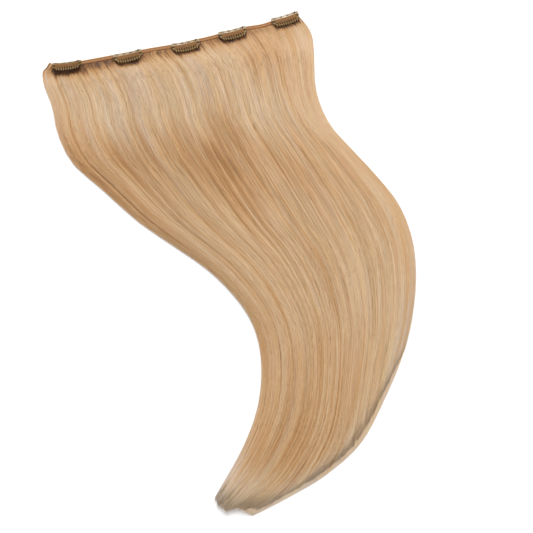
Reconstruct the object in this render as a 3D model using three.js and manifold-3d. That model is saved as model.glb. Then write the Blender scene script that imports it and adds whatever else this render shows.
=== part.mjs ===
// Clip-in hair extension: one sewn weft, five snap clips and a long fall of hair, lying flat.
// Millimetres. +X runs along the weft, +Y from the hair to the sewn edge, +Z up from the surface.

import * as THREE from 'three';
import { mergeVertices } from 'three/addons/utils/BufferGeometryUtils.js';
import Module from 'manifold-3d';

const wasm = await Module();
wasm.setup();

// Weft and hair
const WEFT_LENGTH = 258;
const BAND_WIDTH = 4.8;
const BAND_THICKNESS = 2.4;
const HAIR_LENGTH = 560; // along the middle strand, root to tip
const HAIR_THICKNESS = 12; // at the fullest point of the fall
const ROOT_THICKNESS = 2; // where it leaves the band, and under the clips
const LOCK_COUNT = 12;
const LOCK_VALLEY = 0.9; // depth of the furrow between two locks
const LOCK_POINT = 5; // how far a lock's end reaches past the furrows beside it
const TIP_ROUNDING = 6; // how far the tip's corners stay behind its middle

// Snap clip
const CLIP_LENGTH = 29.5;
const CLIP_DEPTH = 12.3;
const CLIP_BOW = 1.15; // rise of the ends over the middle
const SHEET = 0.6; // metal of frame and comb
const SEWING_BAR = 2.8; // width of the bar at the back
const FRONT_BAR = 1.3;
const END_LOBE = 3.2; // width of the frame's ends
const SLOT_LENGTH = 2.8;
const SLOT_WIDTH = 0.9;
const SLOT_COUNT = 4;
const TOOTH_COUNT = 10;
const TOOTH_GAP = 0.8; // at the root
const TOOTH_TIP = 0.9; // width
const COMB_SPINE = 3.6; // width of the comb behind its teeth
const TOOTH_OVERHANG = 1.1; // past the front bar
const TOOTH_CURL = 1.1; // drop of the tips
const RIVET_SHANK = 0.55; // radius
const RIVET_HEAD = 1; // radius
const RIVET_DOME = 0.35;
const COMB_SWING = 25; // degrees from shut to open

// Clearances
const GAP = 0.3; // between pieces that touch
const RUNNING_GAP = 0.35; // between comb and frame

// Across the band from its folded edge to the hair: shares of BAND_WIDTH and BAND_THICKNESS
const BAND_PROFILE = [
  { across: 0.0, top: 0.55 },
  { across: 0.12, top: 1.0 },
  { across: 0.28, top: 1.0 },
  { across: 0.4, top: 0.76 },
  { across: 0.74, top: 0.9 },
  { across: 1.0, top: 0.6 },
];

// Sideways sway of the weft: shares of WEFT_LENGTH, measured in band widths
const WEFT_SWAY = [
  { along: 0.0, sway: 0.25 },
  { along: 0.12, sway: -0.1 },
  { along: 0.25, sway: -0.18 },
  { along: 0.37, sway: -0.3 },
  { along: 0.5, sway: -0.5 },
  { along: 0.6, sway: -0.35 },
  { along: 0.69, sway: -0.12 },
  { along: 0.78, sway: 0.3 },
  { along: 0.84, sway: 0.15 },
  { along: 0.91, sway: 0.5 },
  { along: 1.0, sway: 1.1 },
];

// Sections of the fall from root to tip. across and width are shares of WEFT_LENGTH, down of
// HAIR_LENGTH, height of HAIR_THICKNESS; turn is the section's heading in degrees.
const FALL_SECTIONS = [
  { across: 0.0, down: 0.0, turn: 0, width: 1.0, height: 0.3 },
  { across: -0.002, down: 0.014, turn: -4, width: 1.062, height: 0.36 },
  { across: -0.011, down: 0.047, turn: -5, width: 1.061, height: 0.5 },
  { across: -0.021, down: 0.109, turn: -9.3, width: 1.02, height: 0.66 },
  { across: -0.014, down: 0.175, turn: -10.5, width: 1.034, height: 0.76 },
  { across: 0.031, down: 0.237, turn: -10, width: 1.054, height: 0.8 },
  { across: 0.104, down: 0.297, turn: -10, width: 1.027, height: 0.84 },
  { across: 0.182, down: 0.366, turn: -9.2, width: 0.969, height: 0.88 },
  { across: 0.246, down: 0.431, turn: -10.5, width: 0.863, height: 0.93 },
  { across: 0.281, down: 0.49, turn: -14.2, width: 0.752, height: 0.97 },
  { across: 0.292, down: 0.554, turn: -18, width: 0.633, height: 1.0 },
  { across: 0.274, down: 0.615, turn: -23, width: 0.535, height: 1.0 },
  { across: 0.217, down: 0.681, turn: -28.5, width: 0.448, height: 0.93 },
  { across: 0.129, down: 0.748, turn: -32.5, width: 0.376, height: 0.8 },
  { across: 0.019, down: 0.794, turn: -33, width: 0.3, height: 0.64 },
  { across: -0.08, down: 0.822, turn: -34, width: 0.228, height: 0.5 },
  { across: -0.22, down: 0.855, turn: -43, width: 0.115, height: 0.3 },
];

// Hollows in the top of the fall: shares across and along it, and of HAIR_THICKNESS
const FALL_HOLLOWS = [
  { across: 0.47, along: 0.28, wide: 0.09, long: 0.12, depth: 0.2 },
  { across: 0.72, along: 0.34, wide: 0.06, long: 0.16, depth: 0.13 },
  { across: 0.24, along: 0.2, wide: 0.07, long: 0.1, depth: 0.14 },
];

// How the fall is rounded: shares of its width, length or height
const CROWN = { flatness: 3.5, edge: 0.6, leastHeight: 0.12 };
const LOCKS = { bunching: 0.45, stray: 0.2, deepest: 0.3, uneven: 0.5 };
const REACH = { sway: 0.1, rounding: 0.08, hollows: 0.16, tip: 0.9 };

// Clips along the weft: place as a share of the run between the end clips, back of the clip from
// the folded edge as a share of BAND_WIDTH, turn and lift in degrees
const CLIPS = [
  { place: -0.491, setback: 0.1, turn: -5, lift: 20 },
  { place: -0.223, setback: 0.3, turn: 1, lift: 6 },
  { place: 0.037, setback: 0.3, turn: 0, lift: 6 },
  { place: 0.253, setback: 0.05, turn: 2.5, lift: 5 },
  { place: 0.497, setback: -0.25, turn: 6.5, lift: 3 },
];

// A clip's outline in plan: shares of its half length and of its depth
const OUTLINE = { corner: 0.12, shoulder: 0.144, slant: 0.97, slantDepth: 0.82,
  front: 0.66, frontDepth: 0.93, frontBow: 1.07 };

// Facets
const LOCK_FACETS = 3;
const FALL_STATIONS = 32;
const BOW_FACETS = 7;
const ROUND_SIDES = 8;
const CURVE_FACETS = 5;

const radians = THREE.MathUtils.degToRad;
const { lerp, smoothstep } = THREE.MathUtils;

const material = (name, color, roughness, metalness) =>
  new THREE.MeshStandardMaterial({ name, color, roughness, metalness });
const hairFinish = material('hair', 0xd8b482, 0.5, 0);
const bandFinish = material('band', 0xa8703f, 0.8, 0);
const clipFinish = material('clip', 0x8c7346, 0.4, 0.7);

// Solids from geometry, and back

function solid(geometry) {
  geometry.deleteAttribute('normal');
  geometry.deleteAttribute('uv');
  const merged = mergeVertices(geometry);
  return new wasm.Manifold(new wasm.Mesh({
    numProp: 3,
    vertProperties: new Float32Array(merged.attributes.position.array),
    triVerts: new Uint32Array(merged.index.array),
  }));
}

function geometryOf(body) {
  const { vertProperties, triVerts } = body.getMesh();
  const geometry = new THREE.BufferGeometry();
  geometry.setAttribute('position', new THREE.BufferAttribute(vertProperties, 3));
  geometry.setIndex(new THREE.BufferAttribute(triVerts, 1));
  return geometry;
}

function mesh(name, geometry, finish) {
  geometry.computeVertexNormals();
  const piece = new THREE.Mesh(geometry, finish);
  piece.name = name;
  return piece;
}

// A closed body from stations, each a row of points on top and a row under it
function ribbon(stations) {
  const columns = stations[0].top.length;
  const ring = 2 * columns;
  const points = stations.flatMap(({ top, bottom }) => [...top, ...bottom.toReversed()]);
  const index = [];
  const quad = (a, b, c, d) => index.push(a, b, c, a, c, d);
  for (let station = 0; station + 1 < stations.length; station += 1) {
    const here = station * ring;
    for (let k = 0; k < ring; k += 1) {
      const next = (k + 1) % ring;
      quad(here + k, here + ring + k, here + ring + next, here + next);
    }
  }
  const last = (stations.length - 1) * ring;
  for (let k = 0; k + 1 < columns; k += 1) {
    const under = ring - 1 - k;
    quad(k, k + 1, under - 1, under);
    quad(last + k, last + under, last + under - 1, last + k + 1);
  }
  const geometry = new THREE.BufferGeometry().setFromPoints(points);
  geometry.setIndex(index);
  return geometry;
}

// A smooth curve through the rows of a table, for two or three of its columns
function throughRows(rows, columns) {
  const points = rows.map((row) => new THREE.Vector3(...columns.map((column) => row[column])));
  return new THREE.CatmullRomCurve3(points, false, 'catmullrom');
}

// The weft's sway at a share along it
function weftSway(share) {
  const after = Math.max(1, WEFT_SWAY.findIndex(({ along }) => along >= share));
  const [from, to] = [WEFT_SWAY[after - 1], WEFT_SWAY[after]];
  const blend = smoothstep(share, from.along, to.along);
  return lerp(from.sway, to.sway, blend) * BAND_WIDTH;
}

const weftX = (share) => (share - 0.5) * WEFT_LENGTH;

// Shares across the hair. Locks are narrower towards the two edges, and no two are quite alike.
function lockEdge(k) {
  const even = k / LOCK_COUNT;
  const bunched = 0.5 - 0.5 * Math.cos(Math.PI * even);
  const stray = (LOCKS.stray / LOCK_COUNT) * Math.sin(k * 2.4) * Math.sin(Math.PI * even);
  return lerp(even, bunched, LOCKS.bunching) + stray;
}

function hairColumns() {
  const columns = [];
  for (let k = 0; k < LOCK_COUNT; k += 1) {
    for (let facet = 0; facet < LOCK_FACETS; facet += 1) {
      const share = lerp(lockEdge(k), lockEdge(k + 1), facet / LOCK_FACETS);
      columns.push({ share, furrow: facet === 0 && k > 0 ? 1 : 0, lock: k });
    }
  }
  columns.push({ share: 1, furrow: 0, lock: LOCK_COUNT - 1 });
  return columns;
}

// Sewn band

function weftBand() {
  const shares = hairColumns().map(({ share }) => share);
  const stations = BAND_PROFILE.map(({ across, top }) => {
    const at = (share, height) => new THREE.Vector3(
      weftX(share), weftSway(share) - across * BAND_WIDTH, height);
    return {
      top: shares.map((share) => at(share, top * BAND_THICKNESS)),
      bottom: shares.map((share) => at(share, 0)),
    };
  });
  return mesh('weft_band', ribbon(stations), bandFinish);
}

// Fall of hair

const fallPath = throughRows(FALL_SECTIONS, ['across', 'down', 'turn']);
const fallSize = throughRows(FALL_SECTIONS, ['width', 'height', 'down']);

// Rounded edges and a nearly level middle
const crown = (share) => (1 - Math.abs(2 * share - 1) ** CROWN.flatness) ** CROWN.edge;

function hollowAt(share, along) {
  return FALL_HOLLOWS.reduce((sum, { across, along: middle, wide, long, depth }) => {
    const away = ((share - across) / wide) ** 2 + ((along - middle) / long) ** 2;
    return sum + depth * Math.exp(-away);
  }, 0);
}

// How far a strand's end stays behind the tip
function shortfall({ share, furrow, lock }) {
  const uneven = LOCKS.uneven * (0.5 + 0.5 * Math.sin(lock * 2.1));
  return LOCK_POINT * (furrow + uneven) + TIP_ROUNDING * (2 * share - 1) ** 2;
}

// Where a strand is at a share along the fall: its place on the surface and the hair's height there
function strandPoint(column, along) {
  const { share, furrow } = column;
  const reach = along - smoothstep(along, REACH.tip, 1) * shortfall(column) / HAIR_LENGTH;
  const middle = fallPath.getPoint(reach);
  const size = fallSize.getPoint(reach);
  const heading = radians(middle.z);
  const side = (share - 0.5) * size.x * WEFT_LENGTH;
  const sway = weftSway(share) * (1 - smoothstep(along, 0, REACH.sway));
  const clearOfClips = smoothstep(middle.y * HAIR_LENGTH, CLIP_DEPTH, 3 * CLIP_DEPTH);
  const thickness = lerp(ROOT_THICKNESS, size.y * HAIR_THICKNESS, clearOfClips);
  const full = thickness * lerp(1, crown(share), smoothstep(along, 0, REACH.rounding));
  const valley = furrow * Math.min(LOCK_VALLEY, LOCKS.deepest * full);
  const hollow = smoothstep(along, 0, REACH.hollows) * hollowAt(share, along) * thickness;
  return {
    x: middle.x * WEFT_LENGTH + side * Math.cos(heading),
    y: sway - BAND_WIDTH - GAP - middle.y * HAIR_LENGTH + side * Math.sin(heading),
    height: Math.max(full - valley - hollow, CROWN.leastHeight * thickness),
  };
}

function hairFall() {
  const columns = hairColumns();
  const stations = Array.from({ length: FALL_STATIONS + 1 }, (_, k) => {
    const points = columns.map((column) => strandPoint(column, k / FALL_STATIONS));
    return {
      top: points.map(({ x, y, height }) => new THREE.Vector3(x, y, height)),
      bottom: points.map(({ x, y }) => new THREE.Vector3(x, y, 0)),
    };
  });
  return mesh('hair_fall', ribbon(stations), hairFinish);
}

// Snap clip. Its own frame: back edge at y = 0, the front towards -Y, lowest point at z = 0.

const HALF_CLIP = CLIP_LENGTH / 2;
const FRAME_DEPTH = CLIP_DEPTH - TOOTH_OVERHANG;
const RIVET_X = HALF_CLIP - END_LOBE / 2;
const RIVET_Y = -(SEWING_BAR + RIVET_HEAD + GAP);
const EAR_BOTTOM = SHEET + RUNNING_GAP;
const AXIS_ABOVE_BOW = EAR_BOTTOM + SHEET / 2;
const HEAD_BOTTOM = AXIS_ABOVE_BOW + RIVET_HEAD * Math.sin(radians(COMB_SWING)) + SHEET / 2;
const COMB_BACK = RIVET_Y + SHEET;
const COMB_HALF = HALF_CLIP - END_LOBE;
const SPINE_FRONT = COMB_BACK - COMB_SPINE;
const EAR_RADIUS = RIVET_HEAD + GAP;

const bowAt = (x) => CLIP_BOW * (x / HALF_CLIP) ** 2;

// The clip's outline in plan: flat back, rounded corners, ends that slant in to a bowed front
function clipOutline(inset, back, depth) {
  const half = HALF_CLIP - inset;
  const corner = half - OUTLINE.corner * HALF_CLIP;
  const shoulder = -back - OUTLINE.shoulder * HALF_CLIP;
  const [slant, slantDepth] = [OUTLINE.slant * half, -OUTLINE.slantDepth * depth];
  const [front, frontDepth] = [OUTLINE.front * half, -OUTLINE.frontDepth * depth];
  const shape = new THREE.Shape();
  shape.moveTo(corner, -back);
  shape.lineTo(-corner, -back);
  shape.quadraticCurveTo(-half, -back, -half, shoulder);
  shape.quadraticCurveTo(-slant, slantDepth, -front, frontDepth);
  shape.quadraticCurveTo(0, -OUTLINE.frontBow * depth, front, frontDepth);
  shape.quadraticCurveTo(slant, slantDepth, half, shoulder);
  shape.quadraticCurveTo(half, -back, corner, -back);
  return shape;
}

// A sewing slot in the back bar, pointed at both ends
function sewingSlot(x) {
  const reach = SLOT_LENGTH / 2;
  const side = SLOT_WIDTH / 2;
  const corners = [[reach, 0], [reach - side, side], [side - reach, side],
    [-reach, 0], [side - reach, -side], [reach - side, -side]];
  return new THREE.Path(corners.map(([right, up]) => new THREE.Vector2(x + right, up - SEWING_BAR / 2)));
}

// A tall prism over a plan outline, to cut a formed sheet to shape
function punch(shape) {
  const height = 4 * (CLIP_BOW + SHEET);
  const settings = { depth: height, bevelEnabled: false, curveSegments: CURVE_FACETS };
  const prism = new THREE.ExtrudeGeometry(shape, settings);
  prism.translate(0, 0, -height / 2);
  return solid(prism);
}

function rivet(side) {
  const profile = [[0, SHEET / 2], [RIVET_SHANK, SHEET / 2], [RIVET_SHANK, HEAD_BOTTOM],
    [RIVET_HEAD, HEAD_BOTTOM], [0.7 * RIVET_HEAD, HEAD_BOTTOM + RIVET_DOME],
    [0, HEAD_BOTTOM + RIVET_DOME]].map(([radius, height]) => new THREE.Vector2(radius, height));
  const lathe = new THREE.LatheGeometry(profile, ROUND_SIDES);
  lathe.rotateX(Math.PI / 2);
  lathe.translate(side * RIVET_X, RIVET_Y, bowAt(RIVET_X));
  return solid(lathe);
}

function clipFrame() {
  const sheet = new THREE.BoxGeometry(CLIP_LENGTH, CLIP_DEPTH, SHEET, BOW_FACETS, 1, 1);
  sheet.translate(0, -CLIP_DEPTH / 2, SHEET / 2);
  const places = sheet.attributes.position;
  for (let k = 0; k < places.count; k += 1) {
    places.setZ(k, places.getZ(k) + bowAt(places.getX(k)));
  }
  const outline = clipOutline(0, 0, FRAME_DEPTH);
  outline.holes.push(clipOutline(END_LOBE, SEWING_BAR, FRAME_DEPTH - FRONT_BAR));
  for (let k = 0; k < SLOT_COUNT; k += 1) {
    const pitch = (CLIP_LENGTH - END_LOBE) / SLOT_COUNT;
    outline.holes.push(sewingSlot((k - (SLOT_COUNT - 1) / 2) * pitch));
  }
  return geometryOf(solid(sheet).intersect(punch(outline)).add(rivet(-1)).add(rivet(1)));
}

const FRONT_POINTS = clipOutline(0, 0, FRAME_DEPTH).getPoints(CURVE_FACETS)
  .filter(({ y }) => y < -FRAME_DEPTH / 2);

// The frame's front edge at a place along the clip
function frontEdge(x) {
  const after = Math.max(1, FRONT_POINTS.findIndex((point) => point.x >= x));
  const [from, to] = [FRONT_POINTS[after - 1], FRONT_POINTS[after]];
  return lerp(from.y, to.y, (x - from.x) / (to.x - from.x));
}

// A sheet that bows with the frame, from rows of places across it and the drop of each row
function combSheet(rows) {
  return solid(ribbon(rows.map(({ places, drop }) => {
    const at = ({ x, y, bowX }, height) => new THREE.Vector3(
      x, y, EAR_BOTTOM + bowAt(bowX) - drop + height);
    return { top: places.map((place) => at(place, SHEET)), bottom: places.map((place) => at(place, 0)) };
  })));
}

function toothEdges(k) {
  const pitch = (2 * COMB_HALF + TOOTH_GAP) / TOOTH_COUNT;
  const left = -COMB_HALF + k * pitch;
  return [left, left + pitch - TOOTH_GAP];
}

// A tooth lies over the front bar and curls down past it
function combTooth(k) {
  const [left, right] = toothEdges(k);
  const centre = (left + right) / 2;
  const root = SPINE_FRONT + SHEET;
  const front = Math.min(frontEdge(left), frontEdge(right));
  const tip = front - TOOTH_OVERHANG;
  const row = (y, drop) => {
    const narrowing = lerp(1, TOOTH_TIP / (right - left), (root - y) / (root - tip));
    const place = (x) => ({ x: lerp(centre, x, narrowing), y, bowX: x });
    return { places: [place(left), place(right)], drop };
  };
  return combSheet([row(root, 0), row(front - GAP, 0), row(tip, TOOTH_CURL)]);
}

function combPlate() {
  const edges = Array.from({ length: TOOTH_COUNT }, (_, k) => toothEdges(k)).flat();
  const row = (y) => ({ places: edges.map((x) => ({ x, y, bowX: x })), drop: 0 });
  return combSheet([row(COMB_BACK), row(SPINE_FRONT)]);
}

// An ear hooks round its rivet and is open at the back, so it can tip with the comb
function combEar(side) {
  const disc = new THREE.CylinderGeometry(EAR_RADIUS, EAR_RADIUS, SHEET, ROUND_SIDES);
  disc.rotateX(Math.PI / 2);
  const neckLength = RIVET_X - COMB_HALF + SHEET;
  const neck = new THREE.BoxGeometry(neckLength, COMB_BACK - RIVET_Y + EAR_RADIUS, SHEET);
  neck.translate(-side * neckLength / 2, (COMB_BACK - RIVET_Y - EAR_RADIUS) / 2, 0);
  const bore = RIVET_SHANK + RUNNING_GAP;
  const eye = new THREE.CylinderGeometry(bore, bore, 4 * SHEET, ROUND_SIDES);
  eye.rotateX(Math.PI / 2);
  const mouth = new THREE.BoxGeometry(2 * bore, 4 * SHEET, 4 * SHEET);
  mouth.translate(0, 2 * SHEET, 0);
  const behind = new THREE.BoxGeometry(4 * EAR_RADIUS, EAR_RADIUS, 4 * SHEET);
  behind.translate(0, COMB_BACK - RIVET_Y + EAR_RADIUS / 2, 0);
  const ear = solid(disc).add(solid(neck)).subtract(solid(eye)).subtract(solid(mouth));
  return ear.subtract(solid(behind)).translate([side * RIVET_X, RIVET_Y, AXIS_ABOVE_BOW + bowAt(RIVET_X)]);
}

function clipComb() {
  let comb = combPlate().add(combEar(-1)).add(combEar(1));
  for (let k = 0; k < TOOTH_COUNT; k += 1) {
    comb = comb.add(combTooth(k));
  }
  return geometryOf(comb);
}

function snapClip(number, { place, setback, turn, lift }) {
  const clip = new THREE.Group();
  clip.add(mesh(`clip_${number}_frame`, clipFrame(), clipFinish));
  clip.add(mesh(`clip_${number}_comb`, clipComb(), clipFinish));
  const x = place * (WEFT_LENGTH - CLIP_LENGTH);
  const back = weftSway(x / WEFT_LENGTH + 0.5) - setback * BAND_WIDTH;
  clip.position.set(x, back, BAND_THICKNESS + GAP);
  clip.rotation.set(radians(-lift), 0, radians(turn), 'ZYX');
  return clip;
}

// The whole part, stood on its lowest point at the middle of its plan

const assembly = new THREE.Group();
assembly.add(weftBand(), hairFall());
CLIPS.forEach((row, k) => assembly.add(snapClip(k + 1, row)));

const box = new THREE.Box3().setFromObject(assembly);
const middle = box.getCenter(new THREE.Vector3());
assembly.position.set(-middle.x, -middle.y, -box.min.z);

const part = new THREE.Group();
part.add(assembly);

export default part;
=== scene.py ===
"""Clip-in hair extension, lying flat: strands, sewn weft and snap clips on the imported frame. Metres."""

import math
from collections import namedtuple

import bmesh
import bpy
import numpy as np
from mathutils import Matrix, Vector


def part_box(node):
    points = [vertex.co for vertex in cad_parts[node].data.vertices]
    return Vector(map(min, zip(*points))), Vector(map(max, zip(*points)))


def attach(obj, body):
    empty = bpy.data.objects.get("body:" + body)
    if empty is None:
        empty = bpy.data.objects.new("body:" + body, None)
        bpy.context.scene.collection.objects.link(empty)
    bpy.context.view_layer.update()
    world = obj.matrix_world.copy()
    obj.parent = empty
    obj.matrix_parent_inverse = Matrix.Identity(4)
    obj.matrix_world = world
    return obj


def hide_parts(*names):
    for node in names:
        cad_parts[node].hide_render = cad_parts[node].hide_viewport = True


MM = 0.001

# Weft and hair, as in the frame
WEFT_LENGTH = 258 * MM
BAND_WIDTH = 4.8 * MM
BAND_THICKNESS = 2.4 * MM
HAIR_LENGTH = 560 * MM
HAIR_THICKNESS = 12 * MM
ROOT_THICKNESS = 2 * MM
CLIP_LENGTH = 29.5 * MM
CLIP_DEPTH = 12.3 * MM
CLIP_BOW = 1.15 * MM
SHEET = 0.6 * MM
SEWING_BAR = 2.8 * MM
FRONT_BAR = 1.3 * MM
END_LOBE = 3.2 * MM
SLOT_LENGTH = 2.8 * MM
SLOT_WIDTH = 0.9 * MM
SLOT_COUNT = 4
TOOTH_COUNT = 10
TOOTH_GAP = 0.8 * MM
TOOTH_TIP = 0.9 * MM
COMB_SPINE = 3.6 * MM
TOOTH_OVERHANG = 1.1 * MM
TOOTH_CURL = 1.1 * MM
RIVET_SHANK = 0.55 * MM
RIVET_HEAD = 1.0 * MM
RIVET_DOME = 0.35 * MM
COMB_SWING = math.radians(25)
GAP = 0.3 * MM
RUNNING_GAP = 0.35 * MM

# Across the band from its folded edge to the hair: shares of its width and thickness
Fold = namedtuple("Fold", "across top")
BAND_PROFILE = [
    Fold(0.0, 0.55),
    Fold(0.12, 1.0),
    Fold(0.28, 1.0),
    Fold(0.4, 0.76),
    Fold(0.74, 0.9),
    Fold(1.0, 0.6),
]

Section = namedtuple("Section", "across down turn width height")
FALL_SECTIONS = [
    Section(0.0, 0.0, 0, 1.0, 0.3),
    Section(-0.002, 0.014, -4, 1.062, 0.36),
    Section(-0.011, 0.047, -5, 1.061, 0.5),
    Section(-0.021, 0.109, -9.3, 1.02, 0.66),
    Section(-0.014, 0.175, -10.5, 1.034, 0.76),
    Section(0.031, 0.237, -10, 1.054, 0.8),
    Section(0.104, 0.297, -10, 1.027, 0.84),
    Section(0.182, 0.366, -9.2, 0.969, 0.88),
    Section(0.246, 0.431, -10.5, 0.863, 0.93),
    Section(0.281, 0.49, -14.2, 0.752, 0.97),
    Section(0.292, 0.554, -18, 0.633, 1.0),
    Section(0.274, 0.615, -23, 0.535, 1.0),
    Section(0.217, 0.681, -28.5, 0.448, 0.93),
    Section(0.129, 0.748, -32.5, 0.376, 0.8),
    Section(0.019, 0.794, -33, 0.3, 0.64),
    Section(-0.08, 0.822, -34, 0.228, 0.5),
    Section(-0.22, 0.855, -43, 0.115, 0.3),
]
Sway = namedtuple("Sway", "along sway")
WEFT_SWAY = [
    Sway(0.0, 0.25),
    Sway(0.12, -0.1),
    Sway(0.25, -0.18),
    Sway(0.37, -0.3),
    Sway(0.5, -0.5),
    Sway(0.6, -0.35),
    Sway(0.69, -0.12),
    Sway(0.78, 0.3),
    Sway(0.84, 0.15),
    Sway(0.91, 0.5),
    Sway(1.0, 1.1),
]
Clip = namedtuple("Clip", "place setback turn lift")
CLIPS = [
    Clip(-0.491, 0.1, -5, 20),
    Clip(-0.223, 0.3, 1, 6),
    Clip(0.037, 0.3, 0, 6),
    Clip(0.253, 0.05, 2.5, 5),
    Clip(0.497, -0.25, 6.5, 3),
]
CROWN_FLATNESS = 3.5
CROWN_EDGE = 0.6
LEAST_HEIGHT = 0.12
SWAY_REACH = 0.1
ROUNDING_REACH = 0.08
HOLLOW_REACH = 0.16

Hollow = namedtuple("Hollow", "across along wide long depth")
FALL_HOLLOWS = [
    Hollow(0.47, 0.28, 0.09, 0.12, 0.2),
    Hollow(0.72, 0.34, 0.06, 0.16, 0.13),
    Hollow(0.24, 0.2, 0.07, 0.1, 0.14),
]

# Strands
STRAND_RADIUS = 0.2 * MM
STRAND_STATIONS = 35
STRANDS_A_LAYER = 900
STRAND_STRAY = 0.3 * MM
LOCK_ROUNDING = 0.12 * MM
ROOT_BUNCHES = 150
ROOT_STREAKS = 170
STREAK_SHADE = 0.5
ROOT_BUNCH_REACH = 0.045
BODY_COLUMNS = 130
BODY_ROWS = 110
BODY_SINK = 0.6 * MM  # how far the body under the strands lies below their surface

# Sewn band
BAND_COLUMNS = 860
BAND_RINGS = 34
WRAP_PITCH = 1.2 * MM
WRAP_LEAN = 1.6  # pitches that a wrap slants by across the band
WRAP_HEIGHT = 0.09 * MM
BAND_END = 0.45  # how far the band's section shrinks at its two ends
STITCH_ROWS = (0.47, 0.68)
STITCH_PITCH = 2.4 * MM
STITCH_LENGTH = 2.0 * MM
STITCH_RADIUS = 0.17 * MM
STITCH_RISE = 0.1 * MM

# Snap clips
SOFT_EDGE = 0.11 * MM
DISH = 0.14 * MM  # hollow of the comb's plate
CLIP_CUT = 1.05 * MM  # spacing of the cuts that let the sheet follow its bow
LOOPS_A_SLOT = 4
LOOP_RADIUS = 0.16 * MM
KNOT_TURNS = 3
KNOT_RADIUS = 0.26 * MM
KNOT_SLANT = 1.3 * MM

# Layers of strands from the deepest to the top one
Layer = namedtuple("Layer", "seed locks wander gather sink weave")
LAYERS = [
    Layer(21, 19, 1.5 * MM, 0.1, 0.42 * MM, 0.08 * MM),
    Layer(22, 27, 1.2 * MM, 0.15, 0.28 * MM, 0.1 * MM),
    Layer(23, 34, 1.0 * MM, 0.2, 0.13 * MM, 0.13 * MM),
    Layer(24, 43, 0.9 * MM, 0.26, 0.0, 0.15 * MM),
]

# How far the middle strands lean to the right of an even fan, as shares of the hair's width
Lean = namedtuple("Lean", "along lean")
STRAND_LEAN = [
    Lean(0.0, 0.0),
    Lean(0.03, 0.0),
    Lean(0.2, 0.08),
    Lean(0.25, 0.075),
    Lean(0.5, -0.035),
    Lean(0.6, -0.035),
    Lean(0.8, 0.02),
    Lean(1.0, 0.0),
]
# Towards the tip the strands drift to the right, and the right-hand ones run out at the edge
DRIFT_FROM = 0.7
DRIFT_CURVE = 1.8
# The cut end: the left-hand strands stop first
LEFT_TRIM = 0.009
RIGHT_TRIM = 0.018
# At the left end of the band the outermost hair is drawn up beside the clip
SHOULDER_RISE = 7.4 * MM
SHOULDER_LIFT = 1.1 * MM
SHOULDER_WIDTH = 0.034
SHOULDER_REACH = 0.042
SHOULDER_TOP_WIDTH = 0.014

# Camera
LENS = 90.0
SENSOR = 36.0
CAMERA_AZIMUTH = math.radians(-13.3)
CAMERA_ELEVATION = math.radians(66.0)
CAMERA_DISTANCE = 1.25255
CAMERA_TARGET = Vector((0.0151, -0.0208, 0.0))

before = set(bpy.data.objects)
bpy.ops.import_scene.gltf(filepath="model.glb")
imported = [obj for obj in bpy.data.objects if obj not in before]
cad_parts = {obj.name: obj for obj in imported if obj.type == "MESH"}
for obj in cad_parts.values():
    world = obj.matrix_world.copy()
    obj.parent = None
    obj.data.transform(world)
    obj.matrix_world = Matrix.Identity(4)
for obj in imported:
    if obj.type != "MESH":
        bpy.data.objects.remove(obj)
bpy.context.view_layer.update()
band_low, band_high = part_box("weft_band")
WEFT_MIDDLE = (band_low.x + band_high.x) / 2
FOLD_LINE = band_high.y - max(row.sway for row in WEFT_SWAY) * BAND_WIDTH


def clip_place(row):
    """Where a clip of the table stands: its back edge, turned and lifted."""
    x = row.place * (WEFT_LENGTH - CLIP_LENGTH)
    back = float(weft_sway(np.array(x / WEFT_LENGTH + 0.5))) - row.setback * BAND_WIDTH
    spot = Matrix.Translation((WEFT_MIDDLE + x, FOLD_LINE + back, BAND_THICKNESS + GAP))
    turn = Matrix.Rotation(math.radians(row.turn), 4, "Z")
    return spot @ turn @ Matrix.Rotation(math.radians(-row.lift), 4, "X")


# Shape of the fall

def smoothstep(value, low, high):
    share = np.clip((value - low) / (high - low), 0, 1)
    return share * share * (3 - 2 * share)


def lerp(start, end, share):
    return start + (end - start) * share


def through_rows(rows, along):
    """A smooth curve through the rows of a table, at shares of its length."""
    rows = np.array(rows, float)
    rows = np.vstack([2 * rows[0] - rows[1], rows, 2 * rows[-1] - rows[-2]])
    place = np.clip(along, 0, 1) * (len(rows) - 3)
    first = np.minimum(place.astype(int), len(rows) - 4)
    share = (place - first)[..., None]
    before, start, end, after = (rows[first + k] for k in range(4))
    rise_in, rise_out = (end - before) / 2, (after - start) / 2
    bend = 3 * (end - start) - 2 * rise_in - rise_out
    twist = 2 * (start - end) + rise_in + rise_out
    return start + share * (rise_in + share * (bend + share * twist))


def eased(rows, at):
    """The second column of a table, passing gently from row to row of the first."""
    places, values = np.array(rows, float).T
    after = np.clip(np.searchsorted(places, at), 1, len(places) - 1)
    return lerp(values[after - 1], values[after], smoothstep(at, places[after - 1], places[after]))


def weft_sway(share):
    """How far the folded edge sways from a straight line, at shares along the weft."""
    return eased(WEFT_SWAY, share) * BAND_WIDTH


def crown(share):
    return (1 - np.abs(np.clip(2 * share - 1, -1, 1)) ** CROWN_FLATNESS) ** CROWN_EDGE


def crown_inverse(height):
    """The share in from an edge at which the crown has a height."""
    return (1 - (1 - height ** (1 / CROWN_EDGE)) ** (1 / CROWN_FLATNESS)) / 2


def patches(rows, across, along):
    """The sum of soft patches, each with its own strength."""
    total = np.zeros(np.broadcast(across, along).shape)
    for row in rows:
        away = ((across - row.across) / row.wide) ** 2 + ((along - row.along) / row.long) ** 2
        total = total + row[4] * np.exp(-away)
    return total


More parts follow.
